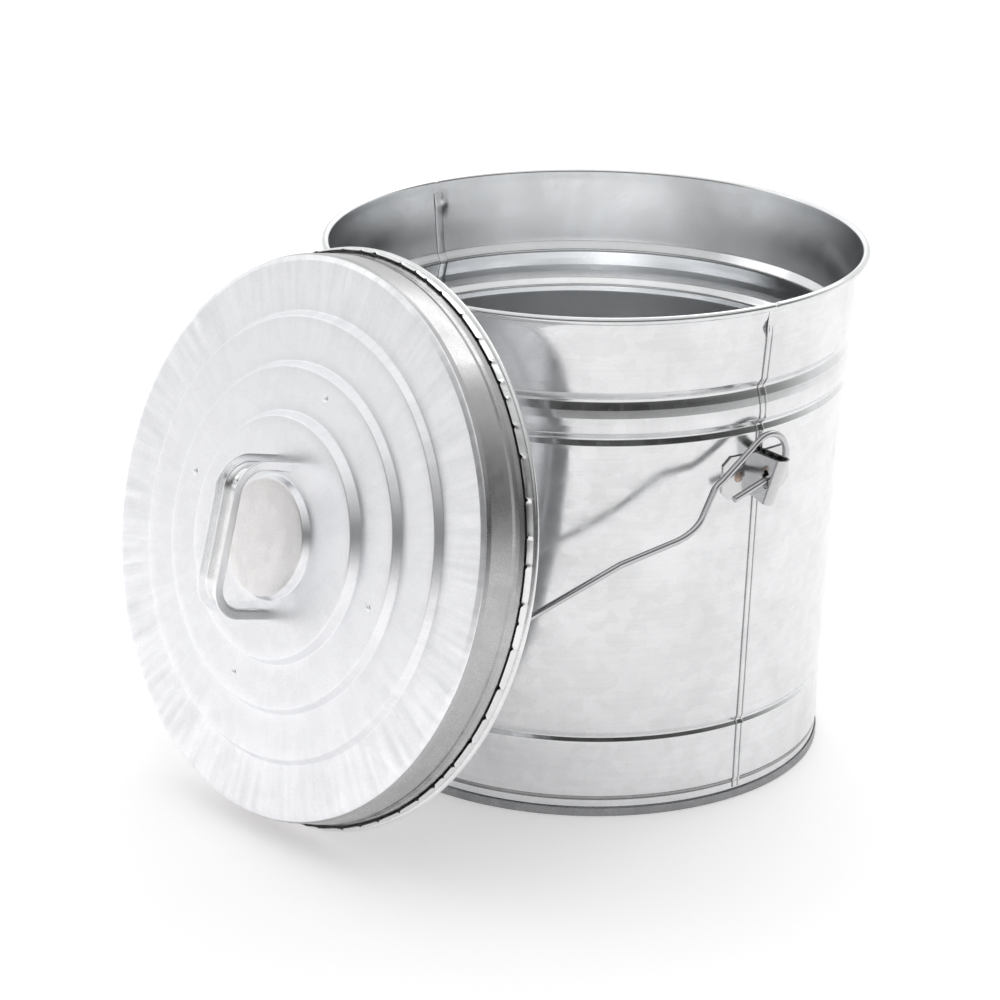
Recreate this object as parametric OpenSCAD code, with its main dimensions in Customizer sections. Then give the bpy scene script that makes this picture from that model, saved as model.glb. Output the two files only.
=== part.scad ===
// Galvanised steel waste pail: a beaded two-piece body with a bottom plate, a wired rim,
// two bail ears, a wire bail, and a stepped lid with a channel handle that leans on the rim.
// Millimetres, +Z up. The origin is on the floor under the middle of the pail. The two side
// seams and the ears are on the X axis, and the bail and the lid lie on the -Y side.

/* [Pail body] */
// Height of the pail to the top of its rim
pail_h = 314; // [300:1:330]
// Outside radius of the rim bead
rim_r = 164.5; // [163:0.5:166]
// Thickness of the rim bead
rim_bead_d = 4.6; // [4:0.1:5]
// Diameter of the wire inside the rim bead
rim_wire_d = 2.9; // [2:0.1:2.9]
// Thickness of the body and lid sheet
sheet_t = 0.8; // [0.7:0.05:1]
// Radius of the foot seam
foot_r = 145.5; // [145.3:0.1:146]
// Height of the foot seam
foot_h = 6; // [5:0.5:8]
// Height of the recessed bottom above the floor
bottom_z = 8; // [7:0.5:9]
// Width of the folded side seams
seam_w = 5.2; // [4:0.2:6]

/* [Ears] */
// Height of the ears' centre above the floor
ear_z = 209.2; // [209:0.1:210]
// Width of an ear across both wings
ear_w = 51; // [46:1:56]
// Height of an ear's wings
ear_h = 26.4; // [25:0.1:27]
// Thickness of the ear sheet
ear_t = 1.2; // [1:0.1:1.3]
// Width of an ear's middle fin
fin_w = 9; // [8.8:0.1:9.4]
// Distance of the ear rivets from the seam
rivet_y = 14.5; // [12:0.5:17]

/* [Bail] */
// Diameter of the bail wire
bail_d = 4; // [3.6:0.1:4]
// Reach of the bail from its hinge line
bail_reach = 240; // [225:1:245]
// Radius of the eye's round end, to the middle of the wire
eye_r = 13.3; // [13:0.1:13.4]
// Height of the bail's hinge line above the floor
hinge_z = 223.2; // [223:0.1:223.6]
// How far the bail hangs below level, in degrees
bail_droop = 29.3; // [28:0.1:30]

/* [Lid] */
// Outside radius of the lid's curled hem
hem_r = 170; // [169.5:0.1:170.5]
// Radius of the bead at the foot of the hem
curl_r = 1.7; // [1.6:0.05:1.8]
// Height of the hem's folded edge over the bottom of the lid
hem_h = 8.3; // [6:0.1:10]
// Depth of the lid from the hem to the outer band of its face
lid_depth = 35.5; // [34:0.5:36]
// Outside radius of the lid's face
face_r = 164; // [163.5:0.1:164.5]
// How far the leaning lid is tilted from upright, in degrees
lid_lean = 14.5; // [14:0.1:15]
// How far the leaning lid is turned towards +X, in degrees
lid_turn = 3.5; // [3:0.1:4]

/* [Lid handle] */
// Length of the handle over its legs
handle_len = 94; // [90:1:98]
// Width of the handle channel over its edges
handle_w = 17.7; // [16:0.1:19]
// Height of the handle above the lid's inner plateau
handle_h = 40; // [37:0.5:42]
// Radius of the handle's bends, outside
handle_bend_r = 17; // [14:0.5:19]
// Depth of the handle channel, which opens away from the lid
handle_edge = 6.6; // [5:0.2:8]

/* [Hidden] */
$fn = 96;
wire_sides = 24;
eps = 0.05;
rivet_d = 3.8;

zinc = [0.78, 0.79, 0.80];
zinc_dull = [0.70, 0.71, 0.72];
bright = [0.86, 0.87, 0.88];

// Outside of the body wall as [radius, height], from the foot seam up to the rim bead:
// foot bead, lower groove, tapered body, two upper grooves with a crest between, collar.
wall_top_z = pail_h - rim_bead_d / 2;
wall = [[144.5, 1], [144.6, 10.4], [144.1, 11.8], [145, 13.4],
        [145.9, 48.4], [144.7, 50.9], [144.9, 51.8], [146.3, 54.5],
        [153.3, 233.5], [153.4, 235], [151.9, 238.4], [152, 239.4],
        [155.2, 243], [155.8, 247.5], [155.4, 252], [154.3, 256.5],
        [152.6, 261.2], [152.7, 262.6], [155.9, 267.4],
        [rim_r - rim_bead_d + sheet_t, wall_top_z]];
rim_mid_r = rim_r - rim_bead_d / 2;

// The same outside between the foot seam and the rim bead, where the side seams show
wall_last = len(wall) - 1;
wall_seam = concat([[144.6, foot_h + 0.4]], [for (i = [1 : wall_last - 1]) wall[i]],
                   [wall[wall_last] + (wall[wall_last - 1] - wall[wall_last]) * 0.055]);

// Radius of the body wall at the height z, on the long tapered stretch
function taper_r(z) = 146.3 + (z - 54.5) * (153.3 - 146.3) / (233.5 - 54.5);

bail_y = -3;                  // the eyes hang to the resting side of their ears
bail_x = 164.6;               // plane of the right eye
bow_lift = 9.7;               // the bow lies this far above the line through the hinge
leg_in = 6.4;                 // slope of the bail's leg towards the eye's middle line
tail_in = 12.6;               // slope of the eye's cut end towards that line
kink_s = 33;                  // reach of the kink where the eye's leg meets the bow
kink_r = 14;                  // bend radius of that kink
tail_len = 30.2;              // length of the eye's straight cut end

lid_x = 4.4;
lid_y = -192;
hem_low = 0.1;                // gap between the standing hem and the floor
curl_mid_r = hem_r - curl_r;
lid_z = hem_low + curl_r - curl_r * sin(lid_lean) + curl_mid_r * cos(lid_lean);

// Steps of the lid's face as [outer radius, height over the outer band]
steps = [[130.6, 4.5], [101.7, 9.5], [73, 15.5], [37, 19.5]];
step_run = 2.8;               // how far each step leans in while it rises
dot_r = 87.5;                 // circle of the four small raised dots
dot_turn = -10.6;
plateau = lid_depth + steps[2][1];

// A turned sheet along the [radius, height] points p, from a to b outside them
module wall_ring(p, a, b, angle) {
    outer = [for (q = p) [q[0] + b, q[1]]];
    inner = [for (i = [len(p) - 1 : -1 : 0]) [p[i][0] + a, p[i][1]]];
    rotate_extrude(angle = angle) polygon(concat(outer, inner));
}

// Moves its child onto the wall at the height of the ears, y to the side of the seam, with its
// Z axis square to the wall
module on_wall(y) {
    slope = atan((153.3 - 146.3) / (233.5 - 54.5));
    rotate([0, 0, asin(y / taper_r(ear_z))]) translate([taper_r(ear_z), 0, ear_z])
        rotate([0, 90 + slope, 0]) children();
}

// Half of the body: its wall, half of the rolled rim, and the fold that laps over the seam
module shell_half() {
    difference() {
        union() {
            wall_ring(wall, -sheet_t, 0, 180);
            rotate_extrude(angle = 180) translate([rim_mid_r, wall_top_z]) circle(d = rim_bead_d);
        }
        translate([0, 0, wall_top_z]) rotate_extrude()
            translate([rim_mid_r, 0]) circle(d = rim_wire_d + 2 * eps);
        for (m = [0, 1]) mirror([m, 0, 0]) on_wall(rivet_y)
            cylinder(d = rivet_d + 0.3, h = 10, center = true);
    }
    fold = asin(seam_w / 2 / 150);
    wall_ring(wall_seam, -sheet_t / 2, 0.7, fold);
    rotate([0, 0, -fold]) wall_ring(wall_seam, eps, 0.7, fold);
}

module shell_rear() {
    color(zinc) shell_half();
}

module shell_front() {
    color(zinc) rotate([0, 0, 180]) shell_half();
}

// The bottom: a recessed plate whose edge is folded round the foot of the wall
module bottom_plate() {
    slot_out = foot_r - 0.8;
    slot_in = wall[0][0] - sheet_t - 0.2;
    flange_in = slot_in - 0.8;
    color(zinc_dull) rotate_extrude() polygon([
        [0, bottom_z], [flange_in, bottom_z], [flange_in, 0], [foot_r - 0.3, 0],
        [foot_r, 0.4], [foot_r, foot_h - 0.4], [foot_r - 0.3, foot_h], [slot_out, foot_h],
        [slot_out, 0.8], [slot_in, 0.8], [slot_in, bottom_z + 0.8],
        [118, bottom_z + 0.8], [115, bottom_z + 2.8], [109, bottom_z + 2.8],
        [106, bottom_z + 0.8], [0, bottom_z + 0.8]]);
}

module rim_wire() {
    color(bright) translate([0, 0, wall_top_z]) rotate_extrude()
        translate([rim_mid_r, 0]) circle(d = rim_wire_d);
}

// The fin's side view is swept inwards by cut, so that the same shape cuts its hollow
module fin_solid(cut) {
    low = [161.2, ear_z - 16.5];
    high = [172.7, ear_z + 13.8];
    lean = atan((high[0] - low[0]) / (high[1] - low[1]));
    length = norm(high - low);
    half = fin_w / 2 - cut;
    reach = half / cos(lean);
    intersection() {
        union() {
            translate([low[0], 0, low[1]]) rotate([0, lean, 0])
                translate([0, 0, -20]) cylinder(r = half, h = length + 40);
            rotate([90, 0, 0]) translate([0, 0, -half]) linear_extrude(2 * half) polygon([
                [140, low[1] - 20], [low[0] - 20 * tan(lean), low[1] - 20],
                [high[0] + 20 * tan(lean), high[1] + 20], [140, high[1] + 20]]);
        }
        rotate([90, 0, 0]) translate([0, 0, -20]) linear_extrude(40) polygon([
            [140, ear_z - ear_h / 2 - 20 * sign(cut)],
            [154, ear_z - ear_h / 2 - 20 * sign(cut)],
            [low[0] + reach, low[1] - 20 * sign(cut)],
            [high[0] + reach + 20, low[1] - 20 * sign(cut)],
            [high[0] + reach + 20, high[1] + 20 * sign(cut)],
            [140, high[1] + 20 * sign(cut)]]);
    }
}

// Cone that holds the inside of the ears: wall surface moved out by d
module wall_cone(d) {
    z0 = ear_z - 60;
    z1 = ear_z + 60;
    rotate_extrude() polygon([[0, z0], [taper_r(z0) + d, z0], [taper_r(z1) + d, z1], [0, z1]]);
}

// An ear: two wings on the wall and a hollow fin over the seam, with a slot through the fin
module ear() {
    half = ear_w / 2;
    difference() {
        union() {
            intersection() {
                difference() {
                    wall_cone(eps + ear_t);
                    wall_cone(eps);
                }
                rotate([90, 0, 90]) translate([0, 0, 100]) linear_extrude(80)
                    wing_outline(half, ear_h / 2);
            }
            difference() {
                fin_solid(0);
                wall_cone(eps);
            }
        }
        fin_solid(ear_t);
        for (z = [ear_z - 3, ear_z + 3.4])
            translate([bail_x, 0, z]) rotate([90, 0, 0]) cylinder(d = 5.5, h = 20, center = true);
        translate([bail_x - 2.75, -10, ear_z - 3]) cube([5.5, 20, 6.4]);
        for (s = [-1, 1]) on_wall(s * rivet_y) cylinder(d = rivet_d + 0.3, h = 10, center = true);
    }
}

// A rectangle with cut corners, centred on the ear
module wing_outline(a, b) {
    c = 5;
    translate([0, ear_z]) polygon([[-a + c, -b], [a - c, -b], [a, -b + c], [a, b - c],
                                   [a - c, b], [-a + c, b], [-a, b - c], [-a, -b + c]]);
}

module ear_right() {
    color(bright) ear();
}

module ear_left() {
    color(bright) mirror([1, 0, 0]) ear();
}

// Two flat rivets that hold an ear's wings to the wall
module rivet_pair() {
    for (s = [-1, 1]) on_wall(s * rivet_y) {
        translate([0, 0, ear_t + 0.15]) cylinder(d1 = 6.4, d2 = 4.6, h = 0.6);
        translate([0, 0, -sheet_t - 0.1]) cylinder(d = rivet_d, h = ear_t + sheet_t + 0.3);
        translate([0, 0, -sheet_t - 0.8]) cylinder(d1 = 4.6, d2 = 6, h = 0.7);
    }
}

module ear_rivets_right() {
    color(zinc_dull) rivet_pair();
}

module ear_rivets_left() {
    color(zinc_dull) rotate([0, 0, 180]) rivet_pair();
}

// Corners of the bow in its own plane as [x, reach, bend radius], for the right half
bow = [[bail_x, kink_s, 0], [bail_x, 40, 12], [182, 73, 22], [157.5, 112, 15],
       [157.5 - (bail_reach - 112) * 0.361, bail_reach, 95]];
bow_all = concat([for (p = bow) [p[0], -p[1], p[2]]],
                 [for (i = [len(bow) - 1 : -1 : 0]) [-bow[i][0], -bow[i][1], bow[i][2]]]);

function dir(a, b) = (b - a) / norm(b - a);
function xy(p) = [p[0], p[1]];
function bend_angle(i, p) =
    let (u = dir(xy(p[i - 1]), xy(p[i])), v = dir(xy(p[i]), xy(p[i + 1])))
    atan2(u[0] * v[1] - u[1] * v[0], u * v);
function bend_cut(i, p) =
    i <= 0 || i >= len(p) - 1 ? 0 : p[i][2] * tan(abs(bend_angle(i, p)) / 2);

// Straight wire from a to b in the XY plane. Its ends reach a little way into the bends, and
// it is a hair thinner than they are, so the bends close cleanly round it.
module wire_line(a, b, d) {
    v = b - a;
    reach = 0.25;
    translate([a[0], a[1], 0]) rotate([0, 0, atan2(v[1], v[0])]) rotate([0, 90, 0])
        translate([0, 0, -reach]) cylinder(d = d - 0.04, h = norm(v) + 2 * reach, $fn = wire_sides);
}

// Round wire along the corners p in the XY plane, each bent to its own radius. The first and
// last straights are left out unless ends is true.
module wire_run(p, d, ends) {
    for (i = [ends ? 0 : 1 : len(p) - (ends ? 2 : 3)]) {
        u = dir(xy(p[i]), xy(p[i + 1]));
        wire_line(xy(p[i]) + u * bend_cut(i, p), xy(p[i + 1]) - u * bend_cut(i + 1, p), d);
    }
    for (i = [1 : len(p) - 2]) {
        u = dir(xy(p[i - 1]), xy(p[i]));
        turn = bend_angle(i, p);
        side = sign(turn);
        start = xy(p[i]) - u * bend_cut(i, p);
        mid = start + side * p[i][2] * [-u[1], u[0]];
        translate([mid[0], mid[1], 0])
            rotate([0, 0, atan2(start[1] - mid[1], start[0] - mid[0]) - (side < 0 ? -turn : 0)])
                rotate_extrude(angle = abs(turn)) translate([p[i][2], 0])
                    circle(d = d, $fn = wire_sides);
    }
}

// One eye in its own plane, with the hinge at the origin and the bail's reach along +X
module eye(d) {
    leg = [eye_r * sin(leg_in), eye_r * cos(leg_in)];
    tail = [eye_r * sin(tail_in), -eye_r * cos(tail_in)];
    wire_run([[leg[0], leg[1], 0], [kink_s, bow_lift, kink_r],
              [bow[1][1] - bend_cut(1, bow_all), bow_lift, 0]], d, true);
    wire_line(tail, tail + tail_len * [cos(tail_in), sin(tail_in)], d);
    rotate([0, 0, 90 - leg_in]) rotate_extrude(angle = 180 + leg_in + tail_in)
        translate([eye_r, 0]) circle(d = d, $fn = wire_sides);
}

// The bail: a bow in one plane between two eyes that stand square to it
module bail_wire() {
    color(bright) translate([0, bail_y, hinge_z]) rotate([bail_droop, 0, 0]) {
        translate([0, 0, bow_lift]) wire_run(bow_all, bail_d, false);
        for (s = [-1, 1])
            translate([s * bail_x, 0, 0]) rotate([0, 0, -90]) rotate([90, 0, 0]) eye(bail_d);
    }
}

// Places its child, modelled with the lid lying flat and its face up, where the lid leans
module leaning() {
    translate([lid_x, lid_y, lid_z]) rotate([0, 0, lid_turn]) rotate([90 - lid_lean, 0, 0])
        children();
}

// Outside of the lid from the hem to the middle as [radius, height], with k taken off
function lid_line(k) = concat(
    [[curl_mid_r - curl_r + 0.4 - k, curl_r], [face_r - k, lid_depth - 4],
     [face_r - 1.2 - k * 0.7, lid_depth - 1.2 - k * 0.7], [face_r - 4, lid_depth - k]],
    [for (i = [0 : len(steps) - 1]) each
        [[steps[i][0], lid_depth - k + (i == 0 ? 0 : steps[i - 1][1])],
         [steps[i][0] - step_run, lid_depth - k + steps[i][1]]]],
    [[0, lid_depth - k + steps[len(steps) - 1][1]]]);

module lid_shell() {
    outer = lid_line(0);
    inner = lid_line(sheet_t);
    color(zinc) leaning() {
        difference() {
            union() {
                rotate_extrude() polygon(concat(outer,
                    [for (i = [len(inner) - 1 : -1 : 0]) inner[i]]));
                rotate_extrude() translate([curl_mid_r, curl_r]) circle(r = curl_r);
                rotate_extrude() polygon([
                    [curl_mid_r - 0.6, 1.5 * curl_r], [curl_mid_r + 0.2, 1.5 * curl_r],
                    [curl_mid_r, hem_h], [curl_mid_r - 0.8, hem_h]]);
            }
            rotate_extrude() translate([curl_mid_r, curl_r]) circle(r = curl_r - sheet_t);
        }
        for (i = [0 : 3]) rotate([0, 0, dot_turn + 90 * i])
            translate([dot_r, 0, lid_depth + steps[1][1] - 0.3]) cylinder(d1 = 4.5, d2 = 2.5, h = 1.2);
    }
}

// Channel section of the handle: a web on the lid's side and two edges that lean apart
module channel_2d() {
    a = handle_w / 2;
    e = handle_edge;
    splay = 0.9;
    t = 1;
    polygon([[0, -a], [0, t - a], [t - e, t + splay - a], [t - e, a - splay - t], [0, a - t], [0, a],
             [-e, a - splay], [-e, splay - a]]);
}

module lid_handle() {
    half = handle_len / 2;
    straight = half - handle_bend_r;
    leg = handle_h - handle_bend_r;
    color(bright) leaning() translate([0, 0, plateau + 0.02]) {
        for (s = [0, 180]) rotate([0, 0, s]) {
            translate([0, half, 0]) rotate([0, 0, 90]) linear_extrude(leg) channel_2d();
            translate([0, straight, leg]) rotate([90, 0, 90])
                rotate_extrude(angle = 90) translate([handle_bend_r, 0]) channel_2d();
        }
        translate([0, straight, handle_h]) rotate([90, 0, 0]) linear_extrude(2 * straight)
            rotate([0, 0, 90]) channel_2d();
    }
}

shell_front();
shell_rear();
bottom_plate();
rim_wire();
ear_right();
ear_left();
ear_rivets_right();
ear_rivets_left();
bail_wire();
lid_shell();
lid_handle();
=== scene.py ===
"""Looks for the oily waste can: a galvanised pail, its wire bail, and its lid leaning on it.

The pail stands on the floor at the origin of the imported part's frame, which is in metres.
Shapes are in mm and are multiplied by MM. The camera and the studio are in metres.
"""
import math

import bmesh
import bpy
import numpy as np
from mathutils import Matrix, Vector, noise


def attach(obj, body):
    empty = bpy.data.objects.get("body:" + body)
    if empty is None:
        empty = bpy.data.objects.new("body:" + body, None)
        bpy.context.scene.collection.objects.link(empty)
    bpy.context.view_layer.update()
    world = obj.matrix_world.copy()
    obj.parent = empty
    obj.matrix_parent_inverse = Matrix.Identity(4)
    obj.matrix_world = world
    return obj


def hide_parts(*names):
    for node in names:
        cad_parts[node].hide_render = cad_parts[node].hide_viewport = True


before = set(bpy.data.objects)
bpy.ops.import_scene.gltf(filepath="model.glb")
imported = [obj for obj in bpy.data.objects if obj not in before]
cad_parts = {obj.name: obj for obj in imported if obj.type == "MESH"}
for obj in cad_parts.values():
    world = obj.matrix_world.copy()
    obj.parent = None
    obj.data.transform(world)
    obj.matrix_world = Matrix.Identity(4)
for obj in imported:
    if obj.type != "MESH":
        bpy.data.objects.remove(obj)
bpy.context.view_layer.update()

MM = 0.001
TAU = 2 * math.pi
SEED = 7

# ---------------------------------------------------------------- sizes, in mm and degrees
# SKIN, HANDLE_BEND, the crowned boss and the wire's thickness are not the same as the part's.
PAIL_H = 314.0
RIM_R = 164.5
BEAD_D = 4.6
SKIN = 0.6  # sheet of the pail and the lid
BEAD_MID_R = RIM_R - BEAD_D / 2
BEAD_Z = PAIL_H - BEAD_D / 2
# outside of the body wall as (radius, height)
WALL = [(144.5, 1), (144.6, 10.4), (144.1, 11.8), (145, 13.4), (145.9, 48.4), (144.7, 50.9),
        (144.9, 51.8), (146.3, 54.5), (153.3, 233.5), (153.4, 235), (151.9, 238.4), (152, 239.4),
        (155.2, 243), (155.8, 247.5), (155.4, 252), (154.3, 256.5), (152.6, 261.2),
        (152.7, 262.6), (155.9, 267.4), (160.7, 311.7)]
HINGE_Y, HINGE_Z = -3.0, 223.2
BAIL_X = 164.6
BAIL_D = 4.0
WIRE_R = BAIL_D / 2 - 0.04  # clears the ears at the end of the swing
BAIL_DROOP = 29.3
BAIL_REACH = 240.0
EYE_R = 13.3
BOW_LIFT = 9.7
LEG_IN, TAIL_IN = 6.4, 12.6
KINK_S = 33.0
TAIL_LEN = 30.2

LID_LEAN, LID_TURN = 14.5, 3.5
HEM_R, CURL_R = 170.0, 1.7
LID_DEPTH = 35.5
STEPS = [(130.6, 4.5), (101.7, 9.5), (73.0, 15.5), (37.0, 19.5)]
STEP_RUN = 2.8
BOSS_R, BOSS_TOP = STEPS[3][0], LID_DEPTH + STEPS[3][1]
DOT_R, DOT_TURN = 87.5, -10.6
PLATEAU = LID_DEPTH + STEPS[2][1]
FLOOR_GAP = 0.1
LID_Z = (FLOOR_GAP + CURL_R - CURL_R * math.sin(math.radians(LID_LEAN))
         + (HEM_R - CURL_R) * math.cos(math.radians(LID_LEAN)))
LID_PLACE = (Matrix.Translation(Vector((4.4, -192.0, LID_Z)) * MM)
             @ Matrix.Rotation(math.radians(LID_TURN), 4, "Z")
             @ Matrix.Rotation(math.radians(90 - LID_LEAN), 4, "X"))

HANDLE_HALF, HANDLE_TOP, HANDLE_BEND = 47.0, PLATEAU + 40.0, 21.0
EDGE, SPLAY, HANDLE_W, HANDLE_T = 6.6, 0.9, 17.7, 1.0

EAR_Z, EAR_T, RIVET_Y = 209.2, 1.2, 14.5
WALL_LOW, WALL_HIGH = WALL[7], WALL[8]  # ends of the straight leaning wall behind the ears

# ---------------------------------------------------------------- camera
CAM_AT = Vector((1.5604, -1.2772, 0.8888))
CAM_FORWARD = Vector((-0.7420, 0.5742, -0.3461)).normalized()
CAM_UP = Vector((-0.2826, 0.2002, 0.9381))
SENSOR = 36.0
FOCAL = 3.484 * SENSOR


def make_camera():
    right = CAM_FORWARD.cross(CAM_UP).normalized()
    up = right.cross(CAM_FORWARD)
    data = bpy.data.cameras.new("camera")
    data.sensor_width = SENSOR
    data.lens = FOCAL
    data.clip_end = 50
    cam = bpy.data.objects.new("camera", data)
    m = Matrix((right, up, -CAM_FORWARD)).transposed().to_4x4()
    cam.matrix_world = Matrix.Translation(CAM_AT) @ m
    bpy.context.scene.collection.objects.link(cam)
    bpy.context.scene.camera = cam


make_camera()


# ---------------------------------------------------------------- studio
def aim(obj, at, to):
    obj.location = at
    obj.rotation_euler = (Vector(to) - Vector(at)).to_track_quat("-Z", "Y").to_euler()


def softbox(name, at, to, size, power):
    data = bpy.data.lights.new(name, "AREA")
    data.shape = "RECTANGLE"
    data.size, data.size_y = size
    data.energy = power
    obj = bpy.data.objects.new(name, data)
    bpy.context.scene.collection.objects.link(obj)
    aim(obj, at, to)


def node_tree(owner):
    owner.use_nodes = True
    tree = owner.node_tree
    tree.nodes.clear()
    return tree


def link(tree, out, into):
    tree.links.new(out, into)


def add(tree, kind, **props):
    n = tree.nodes.new(kind)
    for k, v in props.items():
        setattr(n, k, v)
    return n


# brightness of the studio on the camera's side, from straight down (0) to straight up (1)
NEAR_SIDE = [(0.0, 0.9), (0.46, 0.78), (0.52, 0.66), (0.58, 0.30), (0.68, 0.03), (0.86, 0.6),
             (1.0, 1.0)]


def make_world():
    """A pale studio, with a dark band above the horizon on the camera's side."""
    world = bpy.data.worlds.new("studio")
    bpy.context.scene.world = world
    t = node_tree(world)
    coord = add(t, "ShaderNodeTexCoord")
    split = add(t, "ShaderNodeSeparateXYZ")
    link(t, coord.outputs["Generated"], split.inputs[0])
    height = add(t, "ShaderNodeValToRGB")
    height.color_ramp.interpolation = "EASE"
    ramp = height.color_ramp
    while len(ramp.elements) < len(NEAR_SIDE):
        ramp.elements.new(0.5)
    for e, (p, v) in zip(ramp.elements, NEAR_SIDE):
        e.position = p
        e.color = (v, v, v, 1)
    to01 = add(t, "ShaderNodeMapRange")
    to01.inputs["From Min"].default_value = -1
    link(t, split.outputs["Z"], to01.inputs["Value"])
    link(t, to01.outputs[0], height.inputs["Fac"])
    # how far a direction points away from the camera's side
    away = add(t, "ShaderNodeVectorMath", operation="DOT_PRODUCT")
    away.inputs[1].default_value = (CAM_FORWARD.x, CAM_FORWARD.y, 0.1)
    link(t, coord.outputs["Generated"], away.inputs[0])
    back = add(t, "ShaderNodeMapRange", interpolation_type="SMOOTHSTEP")
    back.inputs["From Min"].default_value = -0.15
    back.inputs["From Max"].default_value = 0.65
    link(t, away.outputs["Value"], back.inputs["Value"])
    mix = add(t, "ShaderNodeMix", data_type="RGBA")
    link(t, back.outputs[0], mix.inputs[0])
    link(t, height.outputs["Color"], mix.inputs[6])
    mix.inputs[7].default_value = (1, 1, 1, 1)
    bg = add(t, "ShaderNodeBackground")
    bg.inputs["Strength"].default_value = 1.0
    link(t, mix.outputs[2], bg.inputs["Color"])
    out = add(t, "ShaderNodeOutputWorld")
    link(t, bg.outputs[0], out.inputs["Surface"])


make_world()
bpy.context.scene.view_settings.view_transform = "Standard"

softbox("key_left", (-1.6, -1.9, 1.5), (0, -0.1, 0.15), (1.6, 1.6), 5)
softbox("back_top", (-0.6, 1.5, 1.9), (0, 0, 0.15), (1.8, 1.2), 8)

FLOOR_HALF = 14.0


def floor_material():
    mat = bpy.data.materials.new("studio_floor")
    t = node_tree(mat)
    bsdf = add(t, "ShaderNodeBsdfPrincipled")
    bsdf.inputs["Base Color"].default_value = (0.93, 0.92, 0.925, 1)
    bsdf.inputs["Roughness"].default_value = 0.7
    bsdf.inputs["Specular IOR Level"].default_value = 0.2
    bsdf.inputs["Emission Color"].default_value = (1.0, 0.985, 0.99, 1)
    # a little light of its own keeps the floor nearly white
    bsdf.inputs["Emission Strength"].default_value = 0.36
    out = add(t, "ShaderNodeOutputMaterial")
    link(t, bsdf.outputs[0], out.inputs["Surface"])
    return mat


def make_floor():
    me = bpy.data.meshes.new("studio_floor")
    s = FLOOR_HALF
    me.from_pydata([(-s, -s, 0), (s, -s, 0), (s, s, 0), (-s, s, 0)], [], [(0, 1, 2, 3)])
    ob = bpy.data.objects.new("studio_floor", me)
    bpy.context.scene.collection.objects.link(ob)
    me.materials.append(floor_material())


make_floor()


# ---------------------------------------------------------------- materials
def noise_at(t, vector, size_mm, detail, distort=0.0):
    n = add(t, "ShaderNodeTexNoise")
    n.inputs["Scale"].default_value = 1 / (size_mm * MM)
    n.inputs["Detail"].default_value = detail
    n.inputs["Distortion"].default_value = distort
    link(t, vector, n.inputs["Vector"])
    return n.outputs["Fac"]


def spread(t, value, amount):
    """Takes the middle half of the range 0 to 1 to -amount to amount."""
    m = add(t, "ShaderNodeMapRange")
    m.inputs["From Min"].default_value = 0.25
    m.inputs["From Max"].default_value = 0.75
    m.inputs["To Min"].default_value = -amount
    m.inputs["To Max"].default_value = amount
    link(t, value, m.inputs["Value"])
    return m.outputs[0]


def combine(t, op, a, b):
    m = add(t, "ShaderNodeMath", operation=op)
    for v, s in ((a, m.inputs[0]), (b, m.inputs[1])):
        if isinstance(v, (int, float)):
            s.default_value = v
        else:
            link(t, v, s)
    return m.outputs[0]


def crystals(t, coord, size_mm):
    """Three random values for each zinc crystal, whose outlines are a little ragged."""
    cells = add(t, "ShaderNodeTexVoronoi")
    cells.inputs["Scale"].default_value = 1 / (size_mm * MM)
    warp = add(t, "ShaderNodeTexNoise")
    warp.inputs["Scale"].default_value = 350
    link(t, coord, warp.inputs["Vector"])
    shift = add(t, "ShaderNodeVectorMath", operation="MULTIPLY_ADD")
    shift.inputs[1].default_value = (0.004, 0.004, 0.004)
    link(t, warp.outputs["Color"], shift.inputs[0])
    link(t, coord, shift.inputs[2])
    link(t, shift.outputs[0], cells.inputs["Vector"])
    cell = add(t, "ShaderNodeSeparateColor")
    link(t, cells.outputs["Color"], cell.inputs[0])
    return cell.outputs


def rolling_marks(t, coord):
    """Faint lines round the Z axis."""
    stretch = add(t, "ShaderNodeMapping")
    stretch.inputs["Scale"].default_value = (0.03, 0.03, 1.0)
    link(t, coord, stretch.inputs["Vector"])
    return noise_at(t, stretch.outputs[0], 1.6, 2)


def draw_marks(t, coord, amount):
    """Radial marks about the Z axis, strongest on a pressed disc's outer band."""
    split = add(t, "ShaderNodeSeparateXYZ")
    link(t, coord, split.inputs[0])
    flat = add(t, "ShaderNodeCombineXYZ")
    link(t, split.outputs["X"], flat.inputs["X"])
    link(t, split.outputs["Y"], flat.inputs["Y"])
    length = add(t, "ShaderNodeVectorMath", operation="LENGTH")
    link(t, flat.outputs[0], length.inputs[0])
    unit = add(t, "ShaderNodeVectorMath", operation="NORMALIZE")
    link(t, flat.outputs[0], unit.inputs[0])
    ray = add(t, "ShaderNodeVectorMath", operation="MULTIPLY_ADD")
    ray.inputs[1].default_value = (0.16, 0.16, 0.16)
    link(t, unit.outputs[0], ray.inputs[0])
    drift = add(t, "ShaderNodeVectorMath", operation="SCALE")
    drift.inputs["Scale"].default_value = 0.10
    link(t, flat.outputs[0], drift.inputs[0])
    link(t, drift.outputs[0], ray.inputs[2])
    marks = noise_at(t, ray.outputs[0], 7.0, 3, 0.3)
    outer = add(t, "ShaderNodeMapRange", interpolation_type="SMOOTHSTEP")
    outer.inputs["From Min"].default_value = 0.100
    outer.inputs["From Max"].default_value = 0.160
    outer.inputs["To Min"].default_value = 0.15
    link(t, length.outputs["Value"], outer.inputs["Value"])
    return combine(t, "MULTIPLY", spread(t, marks, amount), outer.outputs[0])


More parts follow.
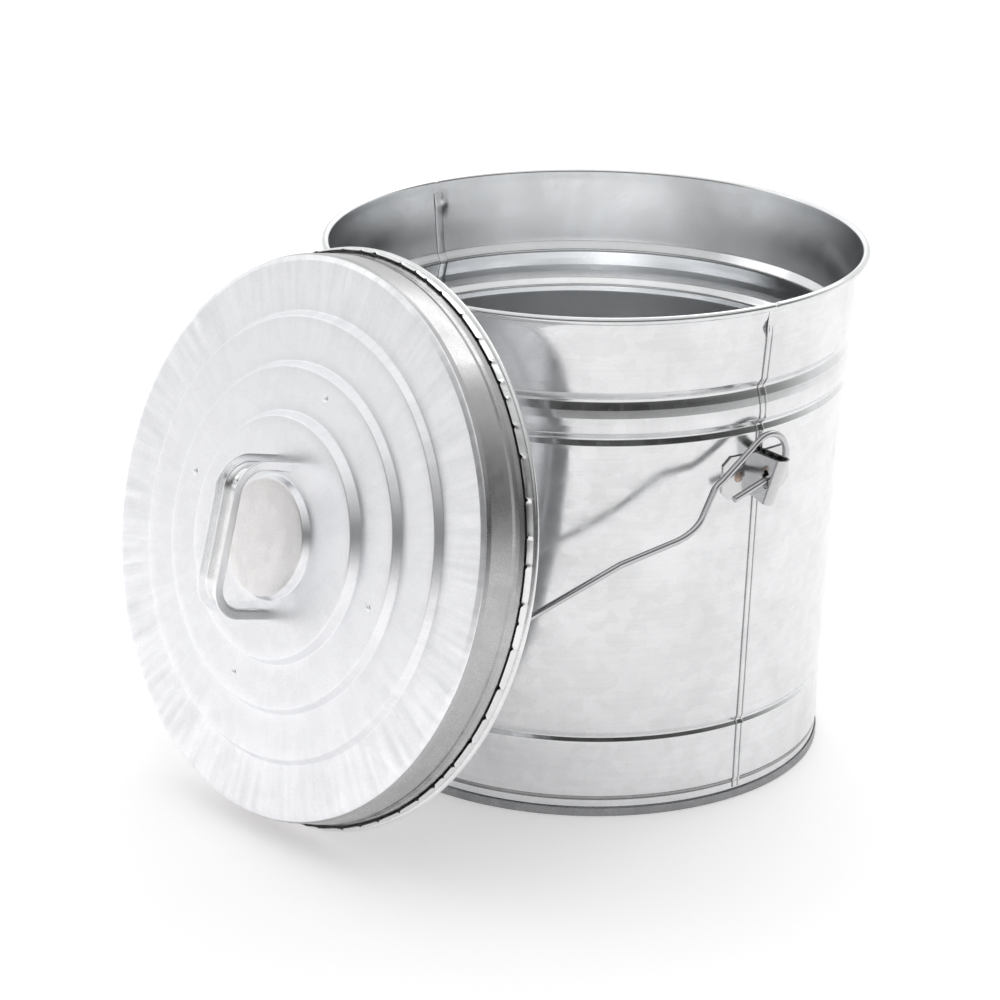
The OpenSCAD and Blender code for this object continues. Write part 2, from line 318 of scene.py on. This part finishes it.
def tinted(t, colour, level):
    """The colour times the level."""
    base = add(t, "ShaderNodeMix", data_type="RGBA", blend_type="MULTIPLY")
    base.inputs[0].default_value = 1.0
    base.inputs[6].default_value = (*colour, 1)
    grey = add(t, "ShaderNodeCombineColor")
    for i in range(3):
        link(t, level, grey.inputs[i])
    link(t, grey.outputs[0], base.inputs[7])
    return base.outputs[2]


def zinc(name, colour, rough, grain=0.04, spangle=0.03, blotch=0.03, bump=0.02, lines=0.0,
         streak=0.0, grain_size=1.1, spangle_size=7.0):
    """Galvanised or plated steel: a metal whose colour and gloss vary over zinc crystals.

    grain, spangle and blotch are the shares of the colour that vary at about 1, 7 and 45 mm.
    lines and streak are the shares of the rolling marks and the draw marks. bump is in mm.
    """
    mat = bpy.data.materials.new(name)
    t = node_tree(mat)
    coord = add(t, "ShaderNodeTexCoord").outputs["Object"]
    fine = noise_at(t, coord, grain_size, 3)
    cloud = noise_at(t, coord, 45, 2, 0.5)
    cell = crystals(t, coord, spangle_size)

    value = combine(t, "ADD", spread(t, fine, grain), spread(t, cell[0], spangle))
    value = combine(t, "ADD", value, spread(t, cloud, blotch))
    height = combine(t, "ADD", combine(t, "MULTIPLY", fine, 0.6),
                     combine(t, "MULTIPLY", cell[1], 0.25))
    if lines:
        mark = rolling_marks(t, coord)
        value = combine(t, "ADD", value, spread(t, mark, lines))
        height = combine(t, "ADD", height, combine(t, "MULTIPLY", mark, 0.5))
    if streak:
        value = combine(t, "ADD", value, draw_marks(t, coord, streak))
    gloss = combine(t, "ADD", combine(t, "MULTIPLY", value, -0.6), rough)
    gloss = combine(t, "ADD", gloss, spread(t, cell[2], spangle))

    bsdf = add(t, "ShaderNodeBsdfPrincipled")
    bsdf.inputs["Metallic"].default_value = 1.0
    link(t, tinted(t, colour, combine(t, "ADD", value, 1.0)), bsdf.inputs["Base Color"])
    link(t, gloss, bsdf.inputs["Roughness"])
    rise = add(t, "ShaderNodeBump")
    rise.inputs["Strength"].default_value = 1.0
    rise.inputs["Distance"].default_value = bump * MM
    link(t, height, rise.inputs["Height"])
    link(t, rise.outputs[0], bsdf.inputs["Normal"])
    out = add(t, "ShaderNodeOutputMaterial")
    link(t, bsdf.outputs[0], out.inputs["Surface"])
    return mat


MAT = {
    "body": zinc("zinc_body", (0.72, 0.73, 0.735), 0.16, grain=0.03, spangle=0.02, blotch=0.07,
                 bump=0.01, lines=0.02),
    # the inside of the wall, the inside seams and the bottom plate's upper face take this lighter
    # copy of the body's zinc, which is painted light
    "inside": zinc("zinc_inside_painted_light", (0.95, 0.96, 0.97), 0.20, grain=0.02, spangle=0.01,
                   blotch=0.04, bump=0.008, spangle_size=9.0),
    "bottom": zinc("zinc_bottom", (0.30, 0.305, 0.31), 0.30, grain=0.06, spangle=0.04,
                   blotch=0.06, bump=0.02),
    "lid": zinc("zinc_lid", (0.90, 0.91, 0.93), 0.34, grain=0.05, spangle=0.012, blotch=0.01,
                bump=0.03, streak=0.08, grain_size=0.8),
    # the lid's skirt takes this darker copy of the lid's zinc, which is painted shade
    "skirt": zinc("zinc_skirt_painted_shade", (0.47, 0.47, 0.475), 0.30, grain=0.06, spangle=0.02,
                  blotch=0.08, bump=0.02),
    "boss": zinc("zinc_boss", (0.81, 0.80, 0.795), 0.34, grain=0.07, spangle=0.02, blotch=0.02,
                 bump=0.03, grain_size=0.8),
    # a dark zinc for the groove above the foot and the steep sides of the seams' raised lines:
    # painted shade in creases
    "edge": zinc("zinc_painted_crease_shade", (0.36, 0.36, 0.365), 0.25, grain=0.05, blotch=0.1),
    "hem": zinc("zinc_hem", (0.80, 0.805, 0.81), 0.22, grain=0.05, spangle=0.02, blotch=0.04,
                bump=0.02),
    "ear": zinc("zinc_ear", (0.62, 0.625, 0.63), 0.13, grain=0.03, spangle=0.01, blotch=0.05,
                bump=0.01),
    "rivet": zinc("rivet_steel", (0.42, 0.34, 0.29), 0.35, grain=0.15, spangle=0.05, blotch=0.1,
                  bump=0.02),
    "bail": zinc("bail_wire_steel", (0.54, 0.54, 0.55), 0.11, grain=0.03, spangle=0.0,
                 blotch=0.05, bump=0.004),
    "handle": zinc("handle_steel", (0.93, 0.935, 0.94), 0.22, grain=0.03, spangle=0.02,
                   blotch=0.04, bump=0.01),
}

CAD_LOOK = {"shell_front": "body", "shell_rear": "body", "bottom_plate": "bottom",
            "rim_wire": "bail", "ear_right": "ear", "ear_left": "ear",
            "ear_rivets_right": "rivet", "ear_rivets_left": "rivet", "bail_wire": "bail",
            "lid_shell": "lid", "lid_handle": "handle"}
for node, look in CAD_LOOK.items():
    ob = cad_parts[node]
    ob.data.materials.clear()
    ob.data.materials.append(MAT[look])


# ---------------------------------------------------------------- mesh helpers
def wave(x, y, z, size, shift=0.0):
    """Smooth noise in -1 to 1 over about size, all in mm."""
    return noise.noise(Vector((x / size + shift, y / size + SEED, z / size)))


def smooth(low, high, x):
    t = min(1.0, max(0.0, (x - low) / (high - low)))
    return t * t * (3 - 2 * t)


def rounded(points, radius, parts=4):
    """The open line with each corner eased over about the given radius."""
    out = [tuple(points[0])]
    for a, b, c in zip(points, points[1:], points[2:]):
        a, b, c = Vector(a), Vector(b), Vector(c)
        u, v = a - b, c - b
        reach_u, reach_v = 0.45 * u.length, 0.45 * v.length
        u.normalize()
        v.normalize()
        angle = math.acos(max(-1.0, min(1.0, u.dot(v))))
        if math.pi - angle < 0.01:
            out.append(tuple(b))
            continue
        cut = min(radius / math.tan(angle / 2), reach_u, reach_v)
        p, q = b + u * cut, b + v * cut
        for k in range(parts + 1):
            t = k / parts
            out.append(tuple(p * (1 - t) ** 2 + b * 2 * t * (1 - t) + q * t * t))
    out.append(tuple(points[-1]))
    return out


def split_long(points, longest):
    """The line with extra points, so that no stretch is longer than longest."""
    out = [points[0]]
    for a, b in zip(points, points[1:]):
        n = max(1, math.ceil(math.dist(a, b) / longest))
        out += [tuple(p + (q - p) * k / n for p, q in zip(a, b)) for k in range(1, n + 1)]
    return out


def offset(points, gap):
    """The open line moved gap to its right-hand side."""
    pts = [Vector(p) for p in points]
    out = []
    for i, p in enumerate(pts):
        d = pts[min(i + 1, len(pts) - 1)] - pts[max(i - 1, 0)]
        d.normalize()
        out.append((p.x + d.y * gap, p.y - d.x * gap))
    return out


def piece(name, verts, faces, look, body, place=None, slot=None, stands_for=None, sharp=40):
    """A new mesh piece, in mm, that rides on a body and takes a material."""
    me = bpy.data.meshes.new(name)
    me.from_pydata([tuple(c * MM for c in v) for v in verts], [], faces)
    bm = bmesh.new()
    bm.from_mesh(me)
    bmesh.ops.remove_doubles(bm, verts=bm.verts, dist=1e-6)
    bmesh.ops.recalc_face_normals(bm, faces=bm.faces)
    bm.to_mesh(me)
    bm.free()
    me.shade_smooth()
    me.set_sharp_from_angle(angle=math.radians(sharp))
    me.materials.append(MAT[look])
    ob = bpy.data.objects.new(name, me)
    bpy.context.scene.collection.objects.link(ob)
    if place is not None:
        ob.matrix_world = place
    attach(ob, body)
    if stands_for:
        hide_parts(*stands_for)
    return ob


def skin_faces(rings, sides, joined=False):
    """Faces between rings of points, with flat ends unless the last ring joins the first."""
    faces = []
    for i in range(rings if joined else rings - 1):
        p, q = i * sides, (i + 1) % rings * sides
        for j in range(sides):
            k = (j + 1) % sides
            faces.append((p + j, q + j, q + k, p + k))
    if not joined:
        faces += [tuple(range(sides)), tuple(range((rings - 1) * sides, rings * sides))]
    return faces


def turned(name, loop, angles, look, body, warp=None, full=True, **extra):
    """Turns the closed (radius, height) loop about Z through the angles."""
    verts = []
    for a in angles:
        ca, sa = math.cos(a), math.sin(a)
        for r, z in loop:
            if warp:
                r, z = warp(r, z, a)
            verts.append((r * ca, r * sa, z))
    return piece(name, verts, skin_faces(len(angles), len(loop), full), look, body, **extra)


def circle_of(n):
    return [TAU * i / n for i in range(n)]


def add_looks(ob, looks, choose):
    """Adds looks after the piece's own. choose gives each face a look's number, 0 for its own."""
    for look in looks:
        ob.data.materials.append(MAT[look])
    for face in ob.data.polygons:
        face.material_index = choose(face)


# ---------------------------------------------------------------- lid
def lid_outline():
    """The lid's outer surface as (radius, height), from the hem to the middle of the boss."""
    skirt = [(166.9, 1.7), (166.3, 8.4), (165.2, 11.2), (164.9, 14.0), (165.2, 16.6),
             (164.1, 31.2), (162.9, 34.2), (160.0, LID_DEPTH)]
    rings = []
    level = 0.0
    for out_r, rise in STEPS[:3]:
        rings += [(out_r, LID_DEPTH + level), (out_r - STEP_RUN, LID_DEPTH + rise)]
        level = rise
    boss = [(BOSS_R - 1, PLATEAU), (BOSS_R - STEP_RUN, BOSS_TOP + 0.6), (20.0, BOSS_TOP + 1.2),
            (0.0, BOSS_TOP + 1.6)]
    return split_long(rounded(skirt + rings + boss, 1.3), 6.0)


def lid_warp(r, h, a):
    """Draw wrinkles near the face's edge, and the slow waves of a thin pressing."""
    x, y = r * math.cos(a), r * math.sin(a)
    band = smooth(131, 158, r)
    ray_x, ray_y = math.cos(a) * 100, math.sin(a) * 100
    wrinkle = 0.16 * wave(ray_x, ray_y, r * 0.15, 7) + 0.10 * wave(ray_x, ray_y, 40, 3.2)
    face = smooth(28, 34, h)
    h += face * (band * wrinkle + 0.22 * wave(x, y, 0, 55))
    r += (1 - face) * 0.25 * wave(ray_x, ray_y, h, 24) * smooth(2, 12, h)
    return r, h


SKIRT_TOP = LID_DEPTH - 2.6


def lid_shade_and_boss_tint(face):
    """The skirt takes a darker copy of the lid's zinc, which is painted shade, and the boss a
    little warmer.
    """
    if face.center.z < SKIRT_TOP * MM:
        return 1
    if face.center.to_2d().length < (BOSS_R - STEP_RUN) * MM:
        return 2
    return 0


def make_lid_skin():
    top = lid_outline()
    loop = [(max(0.0, r), h) for r, h in top + offset(top, -SKIN)[::-1]]
    skin = turned("lid_skin", loop, circle_of(720), "lid", "lid", warp=lid_warp, place=LID_PLACE,
                  slot="lid_sheet", stands_for=["lid_shell"])
    add_looks(skin, ["skirt", "boss"], lid_shade_and_boss_tint)


def hem_pleats():
    """The hem's tongues as (angle, size, side it laps to), at uneven steps."""
    rng = np.random.RandomState(SEED)
    turns = []
    turn = 0.0
    while turn < 360:
        turns.append(turn)
        turn += rng.uniform(3.2, 8.4)
    return [(math.radians(p), rng.uniform(0.5, 1.0), rng.choice([-1, 1])) for p in turns]


PLEATS = hem_pleats()


def hem_warp(r, h, a):
    """The hem's raw edge is bunched into small overlapping tongues."""
    near, size, side = min(PLEATS, key=lambda p: abs((a - p[0] + math.pi) % TAU - math.pi))
    d = ((a - near + math.pi) % TAU - math.pi) * HEM_R
    up = smooth(3.2, 7.5, h)
    tongue = math.exp(-(d / 0.9) ** 2)
    lap = smooth(-0.4, 0.4, d * side) * math.exp(-abs(d) / 3.0)
    h -= up * size * (1.5 * tongue - 0.5 * lap)
    r += up * (0.75 * size * tongue + 0.45 * lap + 0.2 * wave(a * HEM_R, 0, 0, 9))
    return r, h


def make_hem():
    mid = HEM_R - CURL_R
    fold = [(mid - 0.7, 2.4), (mid + 0.1, 2.4), (mid + 0.1, 4.0), (mid, 6.0), (mid - 0.1, 7.6),
            (mid - 0.3, 8.3), (mid - 0.6, 8.2), (mid - 0.65, 6.0), (mid - 0.7, 4.0)]
    turned("lid_hem_fold", fold, circle_of(1440), "hem", "lid", warp=hem_warp, place=LID_PLACE,
           slot="lid_sheet")
    bead = [(mid + CURL_R * math.cos(t), CURL_R + CURL_R * math.sin(t)) for t in circle_of(18)]
    turned("lid_hem_bead", bead, circle_of(480), "hem", "lid", place=LID_PLACE, slot="lid_sheet")


def make_dots():
    """Four small domes with a ring round each, pressed up from the lid's second step."""
    dot = [(0, 0.62), (0.9, 0.6), (1.5, 0.3), (2.1, 0.42), (2.6, 0.1), (2.7, -0.3), (0, -0.3)]
    for i in range(4):
        a = math.radians(DOT_TURN + 90 * i)
        at = Vector((DOT_R * math.cos(a), DOT_R * math.sin(a), LID_DEPTH + STEPS[1][1])) * MM
        turned(f"lid_dot_{i + 1}", dot, circle_of(32), "lid", "lid",
               place=LID_PLACE @ Matrix.Translation(at), slot="lid_sheet")


make_lid_skin()
make_hem()
make_dots()


# ---------------------------------------------------------------- lid handle
def handle_section():
    """(across, outward) round the channel, outward 0 at the tips of its edges."""
    a = HANDLE_W / 2
    half = rounded([(0, -EDGE), (a - SPLAY, -EDGE), (a, -0.4), (a - 0.1, 0.0), (a - 0.9, 0.0),
                    (a - 1.0, -0.4), (a - SPLAY - HANDLE_T, HANDLE_T - EDGE),
                    (0, HANDLE_T - EDGE)], 1.6, 4)
    half = split_long(half, 1.2)
    return half + [(-x, y) for x, y in half[::-1]][1:-1]


def handle_path():
    """(along, up, outward direction) at points down the handle."""
    path = []
    flat = HANDLE_HALF - HANDLE_BEND
    leg = HANDLE_TOP - HANDLE_BEND
    for k in range(12):
        path.append((HANDLE_HALF, PLATEAU - 0.2 + (leg - PLATEAU) * k / 12, 0.0))
    for k in range(21):
        t = math.pi / 2 * k / 20
        path.append((flat + HANDLE_BEND * math.cos(t), leg + HANDLE_BEND * math.sin(t), t))
    middle = [(flat - 2 * flat * k / 24, HANDLE_TOP, math.pi / 2) for k in range(1, 24)]
    return path + middle + [(-b, h, math.pi - t) for b, h, t in path[::-1]]


def handle_rib(across, out, b, h):
    """Rise of the stiffening rib that is pressed into the web at each bend."""
    if abs(across) >= 6.0 or out >= -3.0:
        return 0.0
    bend_at = HANDLE_HALF - HANDLE_BEND * (1 - math.cos(math.pi / 4))
    off = abs(abs(b) - bend_at) * 1.2 + 0.8 * abs(h - (HANDLE_TOP - 5.0))
    return 1.3 * (1 - smooth(7, 13, off)) * (1 - smooth(1.8, 3.8, abs(across)))


def make_handle():
    section, path = handle_section(), handle_path()
    verts = []
    for b, h, t in path:
        for across, out in section:
            d = out + handle_rib(across, out, b, h)
            verts.append((across, b + d * math.cos(t), h + d * math.sin(t)))
    piece("lid_handle_strap", verts, skin_faces(len(path), len(section)), "handle", "lid",
          place=LID_PLACE, slot="handle_steel", stands_for=["lid_handle"])


make_handle()

# ---------------------------------------------------------------- body
wall_out = split_long(rounded(WALL[:-1] + [(160.35, 308.8)], 1.6), 3.2)
# the nick that each seam makes in the rim, and how far it goes in and down
NICK_AT, NICK_HALF, NICK_IN, NICK_DOWN = 0.2, 0.7, 0.45, 0.5
# the dent beside each seam, as (along the rim, height)
DENT_AT, DENT_HALF, DENT_DEPTH = (3.4, 299.5), (3.0, 4.6), 1.5
# the groove above the foot, whose faces between these heights are darkened with painted shade
SHADED_GROOVE_LOW, SHADED_GROOVE_HIGH = 10.2, 12.9


def wall_warp(r, z, a):
    """Slow waves of a rolled sheet, a nick in the rim at each seam, and a dent below it."""
    x, y = r * math.cos(a), r * math.sin(a)
    free = smooth(8, 30, z) * (1 - smooth(296, 309, z))
    r += free * (0.16 * wave(x, y, z, 70) + 0.05 * wave(x, y, z, 22, 3.1))
    side = abs(y)
    if z > 309.4 and side < 2.2:
        nick = math.exp(-((side - NICK_AT) / NICK_HALF) ** 2)
        r -= NICK_IN * nick * (1 if r > BEAD_MID_R else 0)
        z -= NICK_DOWN * nick
    along = ((-y if x > 0 else y) - DENT_AT[0]) / DENT_HALF[0]
    up = (z - DENT_AT[1]) / DENT_HALF[1]
    r -= DENT_DEPTH * math.exp(-along ** 2 - up ** 2)
    return r, z


def body_painted_light_and_shade(face):
    """The inside takes a lighter copy of the zinc, which is painted light, and the groove above
    the foot a dark one, which is painted shade.
    """
    outward = face.normal.x * face.center.x + face.normal.y * face.center.y
    if outward < 0:
        return 1
    return 2 if outward > 0 and SHADED_GROOVE_LOW * MM < face.center.z < SHADED_GROOVE_HIGH * MM else 0


def make_body():
    """Two halves that meet at the seams, each with its own half of the rolled rim."""
    curl = [(BEAD_MID_R + BEAD_D / 2 * math.cos(t), BEAD_Z + BEAD_D / 2 * math.sin(t))
            for t in [math.radians(-128 + 308 * k / 20) for k in range(21)]]
    loop = wall_out + curl + offset(wall_out, -SKIN)[::-1]
    near_seam = [math.radians(v) for v in (0, 0.12, 0.25, 0.4, 0.6, 0.9, 1.2, 1.6, 2.1)]
    angles = (near_seam + [math.radians(2.6 + 174.8 * k / 330) for k in range(331)]
              + [math.pi - v for v in near_seam[::-1]])
    for word, start in (("rear", 0.0), ("front", math.pi)):
        shell = turned(f"body_{word}", loop, [a + start for a in angles], "body", "can",
                       warp=wall_warp, full=False, slot="body_sheet",
                       stands_for=[f"shell_{word}"], sharp=50)
        add_looks(shell, ["inside", "edge"], body_painted_light_and_shade)


def make_seam(name, side, inside=False):
    """The locked seam: a flat fold, with a raised line along each edge on the outside."""
    if inside:
        line = [p for p in wall_out if 12 < p[1] < 306]
        cross = [(-3.0, 0.15), (-2.8, -0.4), (-2.4, -0.5), (2.4, -0.5), (2.8, -0.4), (3.0, 0.15)]
    else:
        line = [p for p in wall_out if 6.3 < p[1] < 309.5]
        cross = [(-2.7, -0.15), (-2.65, 0.7), (-2.3, 0.95), (-1.9, 0.8), (-1.6, 0.2), (0.9, 0.2),
                 (1.2, 0.75), (1.6, 0.95), (2.2, 0.9), (2.6, 0.6), (2.7, -0.15)]
    verts = []
    for r, z in line:
        r, z = wall_warp(r, z, 0.0 if side > 0 else math.pi)
        if inside:
            r -= SKIN
        ease = 1 - 0.85 * smooth(296, 303, z)
        verts += [(side * (r + (up * ease if up > 0 else up)), side * y, z) for y, up in cross]
    # the inside seams take the lighter inside zinc, which is painted light
    seam = piece(name, verts, skin_faces(len(line), len(cross)), "inside" if inside else "body",
                 "can", slot="body_sheet", sharp=60)
    # the seam's steep sides take the dark zinc, which is painted shade beside its raised lines
    add_looks(seam, ["edge"], lambda face: 1 if abs(face.normal.y) > 0.6 else 0)


INSIDE_FROM = 8.6  # the bottom plate's upper face lies above this


def make_foot():
    """The bottom plate, folded up round the foot of the wall."""
    under = rounded([(0, 8), (142.7, 8), (142.7, 0.3), (143.0, 0), (145.0, 0), (145.5, 0.6),
                     (145.5, 5.3), (145.1, 6), (144.75, 5.7)], 0.5)
    over = rounded([(144.7, 0.9), (143.5, 0.9), (143.5, 8.8), (118, 8.8), (115, 10.8),
                    (109, 10.8), (106, 8.8), (0, 8.8)], 1.2)
    foot = turned("foot_and_bottom", under + over, circle_of(360), "bottom", "can",
                  slot="bottom_sheet", stands_for=["bottom_plate"], sharp=50)
    # the bottom plate's upper face takes the lighter inside zinc, which is painted light
    add_looks(foot, ["inside"], lambda face: 1 if face.center.z > INSIDE_FROM * MM else 0)


make_body()
for side, word in ((1, "right"), (-1, "left")):
    make_seam(f"seam_{word}", side)
    make_seam(f"seam_inside_{word}", side, inside=True)
make_foot()


# ---------------------------------------------------------------- rivets
def make_rivets():
    """Two domed heads on the wings of each ear, square to the leaning wall."""
    rivet = [(0, 0.68), (1.4, 0.62), (2.1, 0.45), (2.9, 0.1), (3.1, -0.15), (2.2, -0.15),
             (2.2, -2.0), (0, -2.0)]
    slope = math.atan((WALL_HIGH[0] - WALL_LOW[0]) / (WALL_HIGH[1] - WALL_LOW[1]))
    wall_r = WALL_LOW[0] + (EAR_Z - WALL_LOW[1]) * math.tan(slope)
    for side, word in ((0.0, "right"), (math.pi, "left")):
        for i, y in enumerate((-RIVET_Y, RIVET_Y)):
            at = (Matrix.Rotation(side + math.asin(y / wall_r), 4, "Z")
                  @ Matrix.Translation(Vector((wall_r + EAR_T + 0.15, 0, EAR_Z)) * MM)
                  @ Matrix.Rotation(math.pi / 2 + slope, 4, "Y"))
            turned(f"rivet_{word}_{i + 1}", rivet, circle_of(28), "rivet", "can", place=at,
                   slot="rivet_steel", stands_for=[f"ear_rivets_{word}"])


make_rivets()


# ---------------------------------------------------------------- bail
END_CUT, END_SCALE = 0.35, 0.84


def tube(name, path, radius, look, body, sides=20, **extra):
    """A round wire along the path, with its two ends cut square and their edges eased."""
    pts = [Vector(p) for p in path]
    tangents = [(pts[min(i + 1, len(pts) - 1)] - pts[max(i - 1, 0)]).normalized()
                for i in range(len(pts))]
    normal = tangents[0].orthogonal().normalized()
    rings = []
    for p, t in zip(pts, tangents):
        normal = (normal - t * normal.dot(t)).normalized()
        rings.append((p, normal.copy(), t.cross(normal), 1.0))
    first, last = rings[0], rings[-1]
    rings[0] = (first[0] + tangents[0] * END_CUT, *first[1:])
    rings[-1] = (last[0] - tangents[-1] * END_CUT, *last[1:])
    rings = [(*first[:3], END_SCALE)] + rings + [(*last[:3], END_SCALE)]
    verts = [tuple(p + (u * math.cos(a) + v * math.sin(a)) * radius * s)
             for p, u, v, s in rings for a in circle_of(sides)]
    return piece(name, verts, skin_faces(len(rings), sides), look, body, **extra)


def bail_eye():
    """The eye and its two straight wires as (x, reach, lift), from the cut end to the bow."""
    tail, leg = math.radians(TAIL_IN), math.radians(LEG_IN)
    start = (EYE_R * math.sin(tail), -EYE_R * math.cos(tail))
    out = [(BAIL_X, start[0] + k * math.cos(tail), start[1] + k * math.sin(tail))
           for k in (TAIL_LEN, 22, 14, 7, 2)]
    sweep = math.pi + leg + tail
    for k in range(41):
        t = math.pi / 2 - leg + sweep * (1 - k / 40)
        out.append((BAIL_X, EYE_R * math.cos(t), EYE_R * math.sin(t)))
    start = Vector((EYE_R * math.sin(leg), EYE_R * math.cos(leg)))
    corner = rounded([tuple(start), (KINK_S, BOW_LIFT), (KINK_S + 7.0, BOW_LIFT)], 14.0, 8)
    return out + [(BAIL_X, *p) for p in split_long(corner[:-1], 4.0)[1:]]


def bail_bow():
    """Half the bow as (x, reach, lift), with each corner bent to its own radius."""
    bow = [(BAIL_X, 40.0, 12.0), (182.0, 73.0, 22.0), (157.5, 112.0, 15.0),
           (157.5 - (BAIL_REACH - 112) * 0.361, BAIL_REACH, 95.0)]
    line = [Vector(p) for p in [(BAIL_X, KINK_S)] + [p[:2] for p in bow] + [(0.0, BAIL_REACH)]]
    out = []
    for i, (_, _, r) in enumerate(bow, 1):
        u, v = (line[i - 1] - line[i]).normalized(), (line[i + 1] - line[i]).normalized()
        angle = math.acos(max(-1, min(1, u.dot(v))))
        cut = r / math.tan(angle / 2)
        mid = line[i] + (u + v).normalized() * (r / math.sin(angle / 2))
        a, b = line[i] + u * cut - mid, line[i] + v * cut - mid
        turn = math.atan2(a.x * b.y - a.y * b.x, a.dot(b))
        n = 24 if r > 50 else 12
        for k in range(n + 1):
            t = turn * k / n
            p = Vector((a.x * math.cos(t) - a.y * math.sin(t),
                        a.x * math.sin(t) + a.y * math.cos(t))) + mid
            out.append((p.x, p.y, BOW_LIFT))
    return out


def make_bail():
    droop = math.radians(BAIL_DROOP)
    half = [(x, HINGE_Y - s * math.cos(droop) - t * math.sin(droop),
             HINGE_Z - s * math.sin(droop) + t * math.cos(droop))
            for x, s, t in bail_eye() + bail_bow()]
    whole = split_long(half + [(-x, y, z) for x, y, z in half[::-1]], 3.0)
    tube("bail", whole, WIRE_R, "bail", "bail", slot="bail_steel", stands_for=["bail_wire"])


make_bail()
